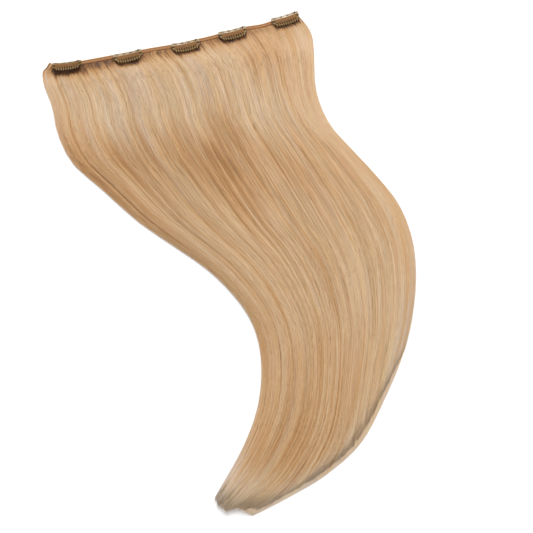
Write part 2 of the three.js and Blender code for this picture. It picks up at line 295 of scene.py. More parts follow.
class Locks:
    """Strands that run together: where each lock ends across the hair, and how it strays."""

    def __init__(self, count, draw):
        widths = draw.uniform(0.45, 1.55, count)
        edges = np.concatenate([[0.0], np.cumsum(widths)]) / widths.sum()
        self.edges = edges
        self.middles = (edges[1:] + edges[:-1]) / 2
        self.halves = (edges[1:] - edges[:-1]) / 2
        self.turns = draw.uniform(0.5, 2.6, (count, 3))
        self.starts = draw.uniform(0, 1, (count, 3))
        self.tones = draw.normal(0, 1, (count, 3))

    def holding(self, share):
        """The number of the lock that each share lies in."""
        return np.clip(np.searchsorted(self.edges, share) - 1, 0, len(self.middles) - 1)

    def wave(self, lock, along, which):
        return np.sin(2 * math.pi * (self.turns[lock, which] * along + self.starts[lock, which]))


def drift(along):
    """How much the strands' shares across grow towards the tip."""
    return np.clip((along - DRIFT_FROM) / (1 - DRIFT_FROM), 0, None) ** DRIFT_CURVE


def strand_fan(share, along):
    """Where strands that start at shares across the hair lie further along it."""
    return (share + eased(STRAND_LEAN, along) * 4 * share * (1 - share)) * (1 + drift(along))


def strand_source(across, along):
    """The share at which the strand at a place started: the fan the other way round."""
    even = across / (1 + drift(along))
    return even - eased(STRAND_LEAN, along) * 4 * even * (1 - even)


def drift_end(share):
    """Where along the fall a strand that starts at a share runs out at the right-hand edge."""
    growth = np.clip(1 / np.maximum(share, 0.02) - 1, 0, 1)
    return DRIFT_FROM + (1 - DRIFT_FROM) * growth ** (1 / DRIFT_CURVE)


def fall_thickness(across, along):
    """The hair's height before its locks are raised."""
    size = through_rows([(row.height, row.down) for row in FALL_SECTIONS], along)
    down = size[..., 1] * HAIR_LENGTH
    clear_of_clips = smoothstep(down, CLIP_DEPTH, 3 * CLIP_DEPTH)
    thickness = lerp(ROOT_THICKNESS, size[..., 0] * HAIR_THICKNESS, clear_of_clips)
    full = thickness * lerp(1, crown(across), smoothstep(along, 0, ROUNDING_REACH))
    hollow = smoothstep(along, 0, HOLLOW_REACH) * patches(FALL_HOLLOWS, across, along) * thickness
    return np.maximum(full - hollow, LEAST_HEIGHT * thickness), clear_of_clips


def shoulder(across, along):
    """How far the outermost hair is drawn up beside the left end of the band."""
    return (1 - smoothstep(across, 0, SHOULDER_WIDTH)) * (1 - smoothstep(along, 0, SHOULDER_REACH))


def fall_place(across, along):
    """Where shares across and along the hair lie on the surface that it rests on."""
    rows = through_rows([(row.across, row.down, row.turn, row.width) for row in FALL_SECTIONS], along)
    heading = np.radians(rows[..., 2])
    side = (across - 0.5) * rows[..., 3] * WEFT_LENGTH
    sway = weft_sway(across) * (1 - smoothstep(along, 0, SWAY_REACH))
    x = WEFT_MIDDLE + rows[..., 0] * WEFT_LENGTH + side * np.cos(heading)
    y = FOLD_LINE + sway - BAND_WIDTH - GAP - rows[..., 1] * HAIR_LENGTH + side * np.sin(heading)
    return x, y + SHOULDER_RISE * shoulder(across, along)


def fall_surface(across, along):
    """Points on top of the hair, and how far from there it may rise or sink."""
    x, y = fall_place(across, along)
    height, clear_of_clips = fall_thickness(across, along)
    room = clear_of_clips * np.clip(crown(across), 0, 1)
    lift = shoulder(across, along) * (1 - smoothstep(across, 0, SHOULDER_TOP_WIDTH))
    return x, y, height + SHOULDER_LIFT * lift, room


# Meshes

def link(name, mesh, finish, body="root"):
    piece = bpy.data.objects.new(name, mesh)
    bpy.context.scene.collection.objects.link(piece)
    mesh.materials.append(finish)
    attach(piece, body)
    return piece


def tube_points(paths, radii, facing, sides):
    """Rings of points round many paths. The first axis counts paths, the second their stations."""
    ahead = np.gradient(paths, axis=1)
    ahead /= np.linalg.norm(ahead, axis=-1, keepdims=True)
    side = np.cross(ahead, (0.0, 0.0, 1.0))
    side /= np.maximum(np.linalg.norm(side, axis=-1, keepdims=True), 1e-9)
    lift = np.cross(side, ahead)
    turns = facing[..., None] + 2 * math.pi * np.arange(sides) / sides
    ring = side[:, :, None] * np.cos(turns)[..., None] + lift[:, :, None] * np.sin(turns)[..., None]
    return paths[:, :, None] + radii[:, :, None, None] * ring


def tube_faces(count, stations, sides):
    """Corners of the side faces, then of the two end faces, of many closed tubes."""
    tube, station, side = np.meshgrid(
        np.arange(count), np.arange(stations - 1), np.arange(sides), indexing="ij")
    corner = (tube * stations + station) * sides
    following = (side + 1) % sides
    walls = np.stack([corner + side, corner + sides + side, corner + sides + following,
                      corner + following], -1).reshape(-1, 4)
    first = np.arange(count)[:, None] * stations * sides
    ring = np.arange(sides)[None]
    start = first + ring
    finish = first + (stations - 1) * sides + ring[:, ::-1]
    return walls, np.concatenate([start, finish], 1).reshape(-1, sides)


def tube_map(count, stations, sides):
    """A place on the unit square for each corner: a strip for each tube, with its ends closed."""
    tube, station, side = np.meshgrid(
        np.arange(count), np.arange(stations - 1), np.arange(sides), indexing="ij")
    margin = 0.1
    strip = (1 - 2 * margin) / count
    left = (tube + margin) / count + strip * side / sides
    right = left + strip / sides
    low = 0.01 + 0.98 * station / (stations - 1)
    high = 0.01 + 0.98 * (station + 1) / (stations - 1)
    walls = np.stack([left, low, left, high, right, high, right, low], -1).reshape(-1, 2)
    around = np.arange(sides) / max(sides - 1, 1)
    ends = []
    for edge, tip in ((0.01, 0.0), (0.99, 1.0)):
        u = (np.arange(count)[:, None] + margin) / count + strip * around
        v = np.broadcast_to(np.where((around > 0) & (around < 1), tip, edge), u.shape)
        ends.append(np.stack([u, v], -1))
    return np.concatenate([walls, np.concatenate(ends, 1).reshape(-1, 2)])


def tubes(name, paths, radii, facing, sides):
    """Many closed tubes joined in one smooth mesh."""
    count, stations = paths.shape[:2]
    points = tube_points(paths, radii, facing, sides).reshape(-1, 3)
    walls, ends = tube_faces(count, stations, sides)
    corners = np.concatenate([walls.ravel(), ends.ravel()])
    totals = np.concatenate([np.full(len(walls), 4), np.full(len(ends), sides)])
    mesh = bpy.data.meshes.new(name)
    mesh.vertices.add(len(points))
    mesh.vertices.foreach_set("co", points.ravel())
    mesh.loops.add(len(corners))
    mesh.loops.foreach_set("vertex_index", corners)
    mesh.polygons.add(len(totals))
    mesh.polygons.foreach_set("loop_start", np.concatenate([[0], np.cumsum(totals)[:-1]]))
    mesh.polygons.foreach_set("use_smooth", np.ones(len(totals), bool))
    layer = mesh.uv_layers.new(name="OFBake", do_init=False)
    layer.uv.foreach_set("vector", tube_map(count, stations, sides).ravel())
    mesh.update(calc_edges=True)
    return mesh


def write_vectors(mesh, name, *columns):
    """A vector attribute on the mesh's points from three columns of numbers."""
    values = np.stack(np.broadcast_arrays(*columns), -1).astype(np.float32)
    attribute = mesh.attributes.new(name, "FLOAT_VECTOR", "POINT")
    attribute.data.foreach_set("vector", values.ravel())


# Tone of the hair by zone

Tone = namedtuple("Tone", "along light gold ash")
# The light column paints a broad highlight from about a tenth to a quarter of the way down and lightens
# the tip against its shade; the ash column partly paints a grey sheen there and the grey of the thin tip.
TONES = [
    Tone(0.0, 0.52, 0.4, 0.25),
    Tone(0.06, 0.56, 0.36, 0.3),
    Tone(0.12, 0.66, 0.26, 0.45),
    Tone(0.22, 0.67, 0.3, 0.4),
    Tone(0.32, 0.5, 0.46, 0.2),
    Tone(0.45, 0.57, 0.42, 0.22),
    Tone(0.6, 0.61, 0.42, 0.25),
    Tone(0.75, 0.55, 0.52, 0.22),
    Tone(0.88, 0.54, 0.55, 0.15),
    Tone(1.0, 0.86, 0.35, 0.6),
]
# How far the hair is darker from the band, and how much at shares across it
ROOT_REACH = 16 * MM
RootShade = namedtuple("RootShade", "across dark")
ROOT_SHADES = [
    RootShade(0.0, 0.0),
    RootShade(0.05, 0.15),
    RootShade(0.2, 0.55),
    RootShade(0.42, 0.25),
    RootShade(0.62, 0.3),
    RootShade(0.83, 0.1),
    RootShade(1.0, 0.05),
]
# The shade under the front of a clip: close and dark, then wider and weaker
SHADE_REACH = 1.7 * MM
SHADE_FADE = 5 * MM
FADE_SHADE = 0.35
SHADE_SLOPE = 0.45  # how far back the shade moves for each unit that a clip's front is lifted
CLIP_SHADE = 0.9
Patch = namedtuple("Patch", "across along wide long strength")
# Lighter and darker patches: painted shade in the hollows and along the left edge, painted light at the
# tip and along the lower right edge, and lighter or darker tone elsewhere.
TONE_AND_PAINTED_LIGHT_PATCHES = [
    Patch(0.6, 0.25, 0.05, 0.06, -0.26),
    Patch(0.5, 0.33, 0.04, 0.07, -0.28),
    Patch(0.41, 0.38, 0.06, 0.06, -0.16),
    Patch(0.02, 0.42, 0.05, 0.3, -0.2),
    Patch(0.21, 0.22, 0.08, 0.06, 0.16),
    Patch(0.52, 0.18, 0.08, 0.07, 0.1),
    Patch(0.8, 0.12, 0.1, 0.07, -0.22),
    Patch(0.94, 0.19, 0.05, 0.07, -0.08),
    Patch(0.82, 0.58, 0.1, 0.1, 0.08),
    Patch(0.9, 0.75, 0.07, 0.1, 0.1),
    Patch(0.3, 1.0, 0.5, 0.05, 0.4),
    Patch(0.93, 0.88, 0.09, 0.12, 0.3),
    Patch(1.0, 0.8, 0.035, 0.16, 0.3),
    Patch(1.0, 0.93, 0.05, 0.06, 0.2),
    Patch(0.17, 0.12, 0.08, 0.05, -0.12),
    Patch(0.95, 0.18, 0.06, 0.07, -0.1),
]
GOLD_PATCHES = [
    Patch(0.17, 0.3, 0.05, 0.12, 0.3),
    Patch(0.41, 0.38, 0.06, 0.07, 0.25),
    Patch(0.35, 0.88, 0.15, 0.07, 0.3),
    Patch(0.45, 0.95, 0.2, 0.08, 0.4),
    Patch(0.22, 0.91, 0.04, 0.06, 0.5),
    Patch(0.76, 0.925, 0.05, 0.04, 0.4),
    Patch(0.7, 0.9, 0.1, 0.1, 0.35),
]
# Greyer patches: painted grey sheen in the upper hair, painted grey light along the right edge and at the
# thin edges of the tip, and one patch with less ash.
ASH_AND_PAINTED_SHEEN_PATCHES = [
    Patch(0.0, 0.97, 0.25, 0.1, 0.9),
    Patch(1.0, 0.93, 0.12, 0.1, 0.3),
    Patch(1.0, 0.68, 0.12, 0.35, 0.35),
    Patch(0.33, 0.2, 0.05, 0.1, 0.25),
    Patch(0.41, 0.38, 0.08, 0.07, -0.2),
]


def clip_shade(x, y):
    """How much of the light each place on the hair loses under the front of a clip."""
    shade = np.zeros(x.shape)
    for row in CLIPS:
        place = clip_place(row)
        turn = math.radians(row.turn)
        right, back = x - place.translation.x, y - place.translation.y
        beside = right * math.cos(turn) + back * math.sin(turn)
        behind = back * math.cos(turn) - right * math.sin(turn)
        reach = np.abs(beside) / (CLIP_LENGTH / 2)
        lift = math.radians(row.lift)
        depth = CLIP_DEPTH * (1.0 - 0.16 * reach ** 2)
        front = -depth * (math.cos(lift) - SHADE_SLOPE * math.sin(lift))
        close = smoothstep(behind, front - SHADE_REACH, front)
        wide = FADE_SHADE * smoothstep(behind, front - SHADE_FADE, front)
        under = np.minimum(close + wide, 1) * (1 - smoothstep(reach, 0.75, 0.98))
        shade = np.maximum(shade, under)
    return shade


def below_band(x, y):
    """How far in front of the band each place on the hair lies."""
    share = np.clip((x - WEFT_MIDDLE) / WEFT_LENGTH + 0.5, 0, 1)
    return FOLD_LINE + weft_sway(share) - BAND_WIDTH - GAP - y


def zone_tones(across, along, x, y):
    rows = through_rows([row[1:] for row in TONES], spread_along(along))
    shade = clip_shade(x, y)
    near_band = 1 - smoothstep(below_band(x, y), 0, ROOT_REACH)
    root = np.interp(across, *zip(*ROOT_SHADES)) * near_band
    light, gold, ash = (rows[..., k] + patches(table, across, along)
                        for k, table in enumerate((TONE_AND_PAINTED_LIGHT_PATCHES, GOLD_PATCHES, ASH_AND_PAINTED_SHEEN_PATCHES)))
    light = light - CLIP_SHADE * shade - root
    gold = gold + 0.4 * shade + 0.6 * root
    ash = ash * (1 - shade) * (1 - root)
    return light, gold, ash


def spread_along(along):
    """Shares of the fall as shares of the number of rows in the tone table."""
    ends = [row.along for row in TONES]
    return np.interp(along, ends, np.linspace(0, 1, len(ends)))


# Strands of hair

def strand_shares(count, draw):
    """Shares across for strands spread evenly over the top and down both sides."""
    side_share = 0.1
    top = draw.uniform(0, 1, count)
    height = draw.uniform(0.05, 0.8, count)
    edge = crown_inverse(height)
    side = np.where(draw.uniform(0, 1, count) < 0.5, edge, 1 - edge)
    return np.where(draw.uniform(0, 1, count) < side_share, side, top)


def strand_ends(share, draw):
    """Where along the fall each strand ends: in small tufts at the tip, and a few on the way."""
    count = len(share)
    tufts = Locks(46, draw)
    uneven = 0.007 * np.abs(tufts.tones[tufts.holding(share), 0]) + 0.004 * draw.uniform(0, 1, count)
    trimmed = LEFT_TRIM * (1 - smoothstep(share, 0, 0.12)) + RIGHT_TRIM * smoothstep(share, 0.22, 0.5)
    full = drift_end(share) - uneven - trimmed
    short = draw.uniform(0, 1, count) < 0.2
    return np.where(short, full - draw.uniform(0.0, 0.25, count), full)


def strand_paths(layer, share, along, draw):
    """Where each strand runs across the hair, and the lock that carries it."""
    count = len(share)
    locks = Locks(layer.locks, draw)
    bunches = Locks(ROOT_BUNCHES, np.random.default_rng(8))
    lock, bunch = locks.holding(share), bunches.holding(share)
    in_fall = smoothstep(along, 0.0, 0.12)
    drawn_in = layer.gather * (0.5 + 0.5 * locks.wave(lock[:, None], along, 0)) * in_fall
    sway = 0.7 * locks.wave(lock[:, None], along, 1) + 0.35 * locks.wave(lock[:, None], 2 * along, 2)
    own = np.sin(2 * math.pi * (draw.uniform(1, 4, (count, 1)) * along + draw.uniform(0, 1, (count, 1))))
    crossing = np.where(draw.uniform(0, 1, (count, 1)) < 0.12, draw.normal(0, 5 * MM, (count, 1)), 0)
    aside = (layer.wander * sway + STRAND_STRAY * own) * in_fall + crossing * (along - 0.3) * in_fall
    at_root = 1 - smoothstep(along, 0.01, ROOT_BUNCH_REACH)
    tight = (0.55 + 0.14 * bunches.tones[bunch, 0])[:, None] * at_root
    move = (locks.middles[lock] - share)[:, None] * drawn_in + aside / WEFT_LENGTH
    move = move * np.sqrt(4 * share * (1 - share))[:, None]
    move = move + (bunches.middles[bunch] - share)[:, None] * tight
    path = strand_fan(share[:, None] + move, along)
    return np.clip(path, 0.0006, 0.9994), locks, lock


def root_streaks(share):
    """How dark each strand is at its root, and how far from the band that reaches."""
    draw = np.random.default_rng(9)
    dark = STREAK_SHADE * draw.uniform(0, 1, ROOT_STREAKS) ** 2
    dark *= lerp(1, 0.45, smoothstep(np.linspace(0, 1, ROOT_STREAKS), 0.6, 0.85))
    reach = draw.uniform(6, 22, ROOT_STREAKS) * MM
    streak = np.minimum((share * ROOT_STREAKS).astype(int), ROOT_STREAKS - 1)
    return dark[streak][:, None], reach[streak][:, None]


def strand_layer(number, layer, finish):
    draw = np.random.default_rng(layer.seed)
    count = STRANDS_A_LAYER
    share = np.sort(strand_shares(count, draw))
    even = np.linspace(0, 1, STRAND_STATIONS) + 0 * share[:, None]
    even[:, 1:-1] += draw.uniform(-0.4, 0.4, (count, 1)) / STRAND_STATIONS
    steps = even ** 1.3
    along = steps * strand_ends(share, draw)[:, None]
    path, locks, lock = strand_paths(layer, share, along, draw)
    x, y, top, room = fall_surface(path, along)
    rounding = LOCK_ROUNDING * (1 - ((share - locks.middles[lock]) / locks.halves[lock]) ** 2)
    rise = rounding[:, None] + layer.weave * locks.wave(lock[:, None], 1.5 * along, 2)
    sink = layer.sink + 0.25 * MM * draw.uniform(0, 1, (count, 1)) ** 2
    z = np.maximum(top + (rise - LOCK_ROUNDING - sink) * room, STRAND_RADIUS)
    radius = STRAND_RADIUS * draw.uniform(0.6, 1.3, (count, 1))
    radii = radius * (1 - 0.7 * smoothstep(steps, 0.97, 1))
    facing = draw.uniform(0, 2 * math.pi, (count, 1)) + 0 * along
    name = f"hair_strands_{number}"
    mesh = tubes(name, np.stack([x, y, z], -1), radii, facing, 3)
    tone = 0.5 + draw.normal(0, 0.2, (count, 1)) + 0.09 * locks.tones[lock, 0][:, None] + 0 * along
    write_vectors(mesh, "flow", *each_side(share[:, None] + 0 * along, along, tone))
    light, gold, ash = zone_tones(path, along, x, y)
    dark, reach = root_streaks(share)
    root = dark * (1 - smoothstep(below_band(x, y), 0.3 * reach, reach))
    light = light - root
    gold = gold + 0.8 * root + 0.12 * locks.tones[lock, 1][:, None]
    ash = ash + 0.12 * locks.tones[lock, 2][:, None]
    write_vectors(mesh, "zone", *each_side(light, gold, ash))
    return link(name, mesh, finish)


def each_side(*columns, sides=3):
    """The numbers of each station, once for each point of its ring."""
    return [np.repeat(column.ravel(), sides) for column in columns]


def hair_body(finish):
    """The mass of hair under the strands that show."""
    shape = bmesh.new()
    bmesh.ops.create_grid(shape, x_segments=BODY_COLUMNS, y_segments=BODY_ROWS, size=0.5)
    for vertex in shape.verts:
        vertex.co += Vector((0.5, 0.5, 0))
    top = bmesh.ops.extrude_face_region(shape, geom=shape.faces[:])["geom"]
    raised = [item for item in top if isinstance(item, bmesh.types.BMVert)]
    bmesh.ops.translate(shape, verts=raised, vec=(0, 0, 1))
    mesh = bpy.data.meshes.new("hair_body")
    shape.to_mesh(mesh)
    shape.free()
    grid = np.zeros(len(mesh.vertices) * 3)
    mesh.vertices.foreach_get("co", grid)
    across, along, raised = grid.reshape(-1, 3).T
    across = 0.5 - 0.5 * np.cos(math.pi * across) * (0.6 + 0.4 * np.abs(np.cos(math.pi * across)))
    across = np.clip(across, 0.002, 0.998)
    along = along * (0.985 - LEFT_TRIM * (1 - smoothstep(across, 0, 0.25)))
    x, y, top, room = fall_surface(across, along)
    sink = BODY_SINK * lerp(0.7, 1, smoothstep(along, 0.03, 0.1))
    z = np.where(raised > 0.5, np.maximum(top - sink, 2 * STRAND_RADIUS), 0.0)
    mesh.vertices.foreach_set("co", np.stack([x, y, z], -1).ravel())
    light, gold, ash = zone_tones(across, along, x, y)
    near_root = 1 - smoothstep(below_band(x, y), 0.5 * ROOT_REACH, 2 * ROOT_REACH)
    # The body is painted a little darker all over, as the shade between the strands above it.
    light = light + 0.02 * near_root - 0.06
    gold = gold + 0.3 * near_root
    ash = ash * (1 - near_root)
    write_vectors(mesh, "flow", strand_source(across, along), along, 0.42 + 0 * along)
    write_vectors(mesh, "zone", light, gold, ash)
    mesh.polygons.foreach_set("use_smooth", np.ones(len(mesh.polygons), bool))
    whole = bmesh.new()
    whole.from_mesh(mesh)
    bmesh.ops.recalc_face_normals(whole, faces=whole.faces)
    whole.to_mesh(mesh)
    whole.free()
    body = link("hair_body", mesh, finish)
    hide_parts("hair_fall")
    return body


# Sewn band

def rounded(points, times):
    """A closed line of points with its corners cut again and again."""
    for _ in range(times):
        after = np.roll(points, -1, axis=0)
        points = np.stack([0.75 * points + 0.25 * after, 0.25 * points + 0.75 * after], 1)
        points = points.reshape(-1, 2)
    return points


def band_section(share):
    """Places round the band's section, and which way they face: across it and up."""
    corners = [(1.0, 0.0), *[(row.across, row.top) for row in reversed(BAND_PROFILE)], (0.0, 0.0)]
    points = rounded(np.array(corners) * (BAND_WIDTH, BAND_THICKNESS), 3)
    points = np.vstack([points, points[:1]])
    lengths = np.concatenate([[0], np.cumsum(np.linalg.norm(np.diff(points, axis=0), axis=1))])

    def at(place):
        where = np.mod(place, 1) * lengths[-1]
        return np.stack([np.interp(where, lengths, column) for column in points.T], -1)

    along = at(share + 0.01) - at(share - 0.01)
    along /= np.linalg.norm(along, axis=-1, keepdims=True)
    return at(share), np.stack([along[..., 1], -along[..., 0]], -1)


def weft_band(finish):
    """The band: hair folded over and bonded, wound with close slanting wraps."""
    shape = bmesh.new()
    bmesh.ops.create_grid(shape, x_segments=BAND_COLUMNS, y_segments=BAND_RINGS, size=0.5)
    mesh = bpy.data.meshes.new("weft_stitched")
    shape.to_mesh(mesh)
    grid = np.zeros(len(mesh.vertices) * 3)
    mesh.vertices.foreach_get("co", grid)
    share, ring = grid.reshape(-1, 3).T[:2]
    share, ring = share + 0.5, ring + 0.5
    place, facing = band_section(ring)
    draw = np.random.default_rng(31)
    uneven = np.interp(share, np.linspace(0, 1, 90), draw.normal(0, 0.55, 90))
    turns = share * WEFT_LENGTH / WRAP_PITCH + uneven + WRAP_LEAN * place[:, 0] / BAND_WIDTH
    ridge = np.abs(np.sin(math.pi * turns)) ** 0.7
    strength = np.interp(share, np.linspace(0, 1, 240), draw.uniform(0.5, 1.5, 240))
    place = place + facing * (WRAP_HEIGHT * strength * (ridge - 0.75))[:, None]
    drawn_in = BAND_END * (1 - smoothstep(np.minimum(share, 1 - share) * WEFT_LENGTH, 0, BAND_THICKNESS))
    place = lerp(place, (BAND_WIDTH / 2, BAND_THICKNESS / 3), drawn_in[:, None])
    x = WEFT_MIDDLE + (share - 0.5) * WEFT_LENGTH
    y = FOLD_LINE + weft_sway(share) - place[:, 0]
    z = np.maximum(place[:, 1], 0.0)
    mesh.vertices.foreach_set("co", np.stack([x, y, z], -1).ravel())
    write_vectors(mesh, "wraps", share * WEFT_LENGTH / MM, place[:, 0] / BAND_WIDTH, ridge)
    shape.clear()
    shape.from_mesh(mesh)
    bmesh.ops.remove_doubles(shape, verts=shape.verts, dist=1e-6)
    bmesh.ops.holes_fill(shape, edges=shape.edges, sides=0)
    bmesh.ops.recalc_face_normals(shape, faces=shape.faces)
    for face in shape.faces:
        face.smooth = True
    shape.to_mesh(mesh)
    shape.free()
    piece = link("weft_stitched", mesh, finish)
    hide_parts("weft_band")


def stitch_rows(finish):
    """Two rows of machine stitches through the flat of the band."""
    draw = np.random.default_rng(41)
    span = np.linspace(-0.5, 0.5, 7)[None]
    count = int(WEFT_LENGTH / STITCH_PITCH) - 1
    paths = []
    for across in STITCH_ROWS:
        middles = (np.arange(count)[:, None] + 1) * STITCH_PITCH / WEFT_LENGTH
        share = middles + span * STITCH_LENGTH / WEFT_LENGTH
        slant = draw.normal(0, 0.012, (count, 1)) + 0.02 * span
        top = np.interp(across, [row.across for row in BAND_PROFILE], [row.top for row in BAND_PROFILE])
        arch = 1 - (2 * span) ** 4 + 0 * share
        x = WEFT_MIDDLE + (share - 0.5) * WEFT_LENGTH
        y = FOLD_LINE + weft_sway(share) - (across + slant) * BAND_WIDTH
        z = top * BAND_THICKNESS + lerp(-3 * STITCH_RISE, STITCH_RISE, arch)
        paths.append(np.stack([x, y, z], -1))
    paths = np.concatenate(paths)
    radii = np.full(paths.shape[:2], STITCH_RADIUS)
    mesh = tubes("weft_stitches", paths, radii, np.zeros(paths.shape[:2]), 6)
    link("weft_stitches", mesh, finish)


# Snap clips. Each is made in its own frame: back edge at y = 0, front towards -Y, and seated at z = 0.

HALF_CLIP = CLIP_LENGTH / 2
FRAME_DEPTH = CLIP_DEPTH - TOOTH_OVERHANG
RIVET_X = HALF_CLIP - END_LOBE / 2
RIVET_Y = -(SEWING_BAR + RIVET_HEAD + GAP)
EAR_BOTTOM = SHEET + RUNNING_GAP
EAR_RADIUS = RIVET_HEAD + GAP
HEAD_BOTTOM = EAR_BOTTOM + SHEET + (RIVET_HEAD + EAR_RADIUS) / 2 * math.sin(COMB_SWING)
COMB_BACK = RIVET_Y + SHEET
COMB_HALF = HALF_CLIP - END_LOBE
SPINE_FRONT = COMB_BACK - COMB_SPINE
EAR_INSET = 0.04 * MM
# Corners of the clip in plan, as shares of half its length and of its depth
BACK_CORNER = 0.12
END_SHOULDER = 0.144
END_SLANT = (0.97, 0.82)
FRONT_CORNER = (0.66, 0.93)
FRONT_BOW = 1.07


def bow_at(x):
    return CLIP_BOW * (x / HALF_CLIP) ** 2


def clip_outline(inset, back, depth):
    """Points round the clip in plan: flat back, rounded corners, slanting ends and a bowed front."""
    half = HALF_CLIP - inset
    corner = half - BACK_CORNER * HALF_CLIP
    shoulder = -back - END_SHOULDER * HALF_CLIP
    slant = (END_SLANT[0] * half, -END_SLANT[1] * depth)
    front = (FRONT_CORNER[0] * half, -FRONT_CORNER[1] * depth)
    runs = [
        ((corner, -back), (0, -back), (-corner, -back), 16),
        ((-corner, -back), (-half, -back), (-half, shoulder), 7),
        ((-half, shoulder), (-slant[0], slant[1]), (-front[0], front[1]), 12),
        ((-front[0], front[1]), (0, -FRONT_BOW * depth), front, 18),
        (front, slant, (half, shoulder), 12),
        ((half, shoulder), (half, -back), (corner, -back), 7),
    ]
    points = []
    for start, control, finish, count in runs:
        share = np.arange(count)[:, None] / count
        start, control, finish = (np.array(point) for point in (start, control, finish))
        points.append((1 - share) ** 2 * start + 2 * share * (1 - share) * control + share ** 2 * finish)
    return np.concatenate(points)


def cut(shape, place, facing):
    everything = [*shape.verts, *shape.edges, *shape.faces]
    bmesh.ops.bisect_plane(shape, geom=everything, dist=1e-7, plane_co=place, plane_no=facing)


def thicken(shape, height):
    raised = bmesh.ops.extrude_face_region(shape, geom=shape.faces[:])["geom"]
    verts = [item for item in raised if isinstance(item, bmesh.types.BMVert)]
    bmesh.ops.translate(shape, verts=verts, vec=(0, 0, height))
    bmesh.ops.recalc_face_normals(shape, faces=shape.faces)


def soften(shape, size):
    """Bevels the sharp edges and marks the bevels as the places that wear."""
    sharp = [edge for edge in shape.edges
             if edge.is_manifold and edge.calc_face_angle() > math.radians(40)]
    made = bmesh.ops.bevel(shape, geom=sharp, offset=size, offset_type="OFFSET", segments=2,
                           profile=0.5, affect="EDGES", clamp_overlap=True, material=-1)
    wear_shade = shape.loops.layers.float_vector.new("wear_shade")
    for face in made["faces"]:
        for loop in face.loops:
            loop[wear_shade] = (1.0, 0.0, 0.0)


def rivet(shape, side):
    """A domed rivet through one end of the frame."""
    profile = [(0, SHEET / 2), (RIVET_SHANK, SHEET / 2), (RIVET_SHANK, HEAD_BOTTOM),
               (RIVET_HEAD, HEAD_BOTTOM), (RIVET_HEAD, HEAD_BOTTOM + 0.12 * MM),
               (0.8 * RIVET_HEAD, HEAD_BOTTOM + 0.27 * MM), (0.45 * RIVET_HEAD, HEAD_BOTTOM + 0.33 * MM),
               (0, HEAD_BOTTOM + RIVET_DOME)]
    middle = Vector((side * RIVET_X, RIVET_Y, bow_at(RIVET_X)))
    line = [shape.verts.new(middle + Vector((radius, 0, height))) for radius, height in profile]
    edges = [shape.edges.new(pair) for pair in zip(line, line[1:])]
    bmesh.ops.spin(shape, geom=[*line, *edges], cent=middle, axis=(0, 0, 1), dvec=(0, 0, 0),
                   angle=2 * math.pi, steps=24, use_merge=True, use_duplicate=False)
    bmesh.ops.remove_doubles(shape, verts=shape.verts, dist=1e-7)


def clip_frame():
    """The lower half of a clip: a bowed ring of sheet with sewing slots and two rivets."""
    outer = clip_outline(0, 0, FRAME_DEPTH)
    inner = clip_outline(END_LOBE, SEWING_BAR, FRAME_DEPTH - FRONT_BAR)
    shape = bmesh.new()
    bmesh.ops.create_circle(shape, cap_ends=False, segments=len(outer), radius=1.0)
    order = {vertex: k for k, vertex in enumerate(shape.verts)}
    drawn = bmesh.ops.extrude_edge_only(shape, edges=shape.edges[:])["geom"]
    for vertex in [item for item in drawn if isinstance(item, bmesh.types.BMVert)]:
        source = next(edge.other_vert(vertex) for edge in vertex.link_edges
                      if edge.other_vert(vertex) in order)
        vertex.co = (*inner[order[source]], 0)
    for vertex, k in order.items():
        vertex.co = (*outer[k], 0)
    pitch = (CLIP_LENGTH - END_LOBE) / SLOT_COUNT
    slots = [(k - (SLOT_COUNT - 1) / 2) * pitch for k in range(SLOT_COUNT)]
    for y in (-(SEWING_BAR - SLOT_WIDTH) / 2, -(SEWING_BAR + SLOT_WIDTH) / 2):
        cut(shape, (0, y, 0), (0, 1, 0))
    for x in [*np.arange(-HALF_CLIP, HALF_CLIP, CLIP_CUT), *[x - SLOT_LENGTH / 2 for x in slots],
              *[x + SLOT_LENGTH / 2 for x in slots]]:
        cut(shape, (x, 0, 0), (1, 0, 0))
    holes = []
    for face in shape.faces:
        middle = face.calc_center_median()
        in_row = abs(middle.y + SEWING_BAR / 2) < SLOT_WIDTH / 2
        if in_row and any(abs(middle.x - x) < SLOT_LENGTH / 2 for x in slots):
            holes.append(face)
    bmesh.ops.delete(shape, geom=holes, context="FACES")
    thicken(shape, SHEET)
    soften(shape, SOFT_EDGE)
    for vertex in shape.verts:
        vertex.co.z += bow_at(vertex.co.x)
    rivet(shape, -1)
    rivet(shape, 1)
    return shape


def front_edge(x):
    """The frame's front edge at a place along the clip."""
    points = clip_outline(0, 0, FRAME_DEPTH)
    points = points[points[:, 1] < -FRAME_DEPTH / 2]
    points = points[np.argsort(points[:, 0])]
    return float(np.interp(x, points[:, 0], points[:, 1]))


def drawn_row(shape, edges, step):
    """Extrudes a row of edges and returns the new row."""
    made = bmesh.ops.extrude_edge_only(shape, edges=edges)["geom"]
    verts = [item for item in made if isinstance(item, bmesh.types.BMVert)]
    bmesh.ops.translate(shape, verts=verts, vec=step)
    return [item for item in made if isinstance(item, bmesh.types.BMEdge)
            and item.verts[0] in verts and item.verts[1] in verts]


def tooth(shape, root, left, right):
    """A tapering tooth from its root edge, over the front bar and down past it."""
    centre = (left + right) / 2
    front = min(front_edge(left), front_edge(right))
    tip = front - TOOTH_OVERHANG
    steps = [lerp(SPINE_FRONT, front - GAP, share) for share in (0.25, 0.5, 0.75, 1.0)]
    steps += [lerp(front - GAP, tip, share) for share in (0.35, 0.7, 1.0)]
    for y in steps:
        root = drawn_row(shape, root, (0, 0, 0))
        share = (y - SPINE_FRONT) / (tip - SPINE_FRONT)
        half = lerp((right - left) / 2, TOOTH_TIP / 2, share) * (0.7 if y == steps[-1] else 1)
        drop = TOOTH_CURL * max(0.0, (front - GAP - y) / (front - GAP - tip)) ** 1.3
        for edge in root:
            low, high = sorted(edge.verts, key=lambda vertex: vertex.co.x)
            low.co = (centre - half, y, -drop)
            high.co = (centre + half, y, -drop)


